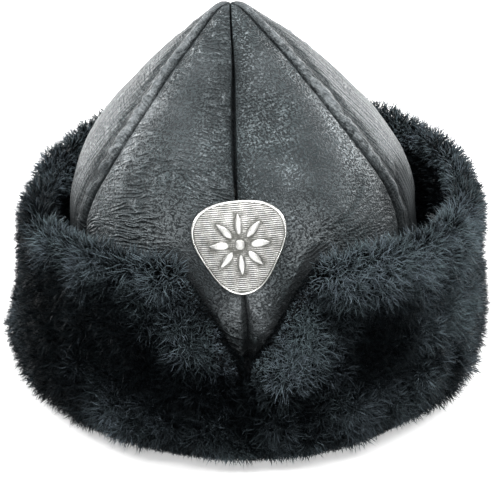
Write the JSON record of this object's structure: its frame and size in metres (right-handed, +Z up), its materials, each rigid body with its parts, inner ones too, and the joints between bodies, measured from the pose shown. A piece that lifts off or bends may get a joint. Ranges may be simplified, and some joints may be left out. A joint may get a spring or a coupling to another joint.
{
  "type": "bork hat",
  "caption": "Pointed leather crown of tapering panels in a turned-up fur cuff with a V notch at the front and a domed metal badge on the front seam.",
  "frame": {"origin": "centre of the hat's bounding box on the surface that its cuff stands on", "axes": "+Z up through the crown, front with the badge towards -Y, +X to the right of a viewer in front"},
  "size_m": [0.2448, 0.2558, 0.189],
  "materials": {
    "leather": "black, semi-gloss, finely grained",
    "fur": "black sheared fur with a blue-grey sheen",
    "silver": "antique silver plate, darkened in its low ground"
  },
  "bodies": {
    "root": {"crown_panel_front_left": "leather", "crown_panel_front_right": "leather", "crown_panel_left": "leather", "crown_panel_right": "leather", "crown_panel_back_left": "leather", "crown_panel_back_right": "leather", "fur_cuff_left": "fur", "fur_cuff_right": "fur", "badge": "silver", "badge_post": "silver"}
  },
  "joints": []
}
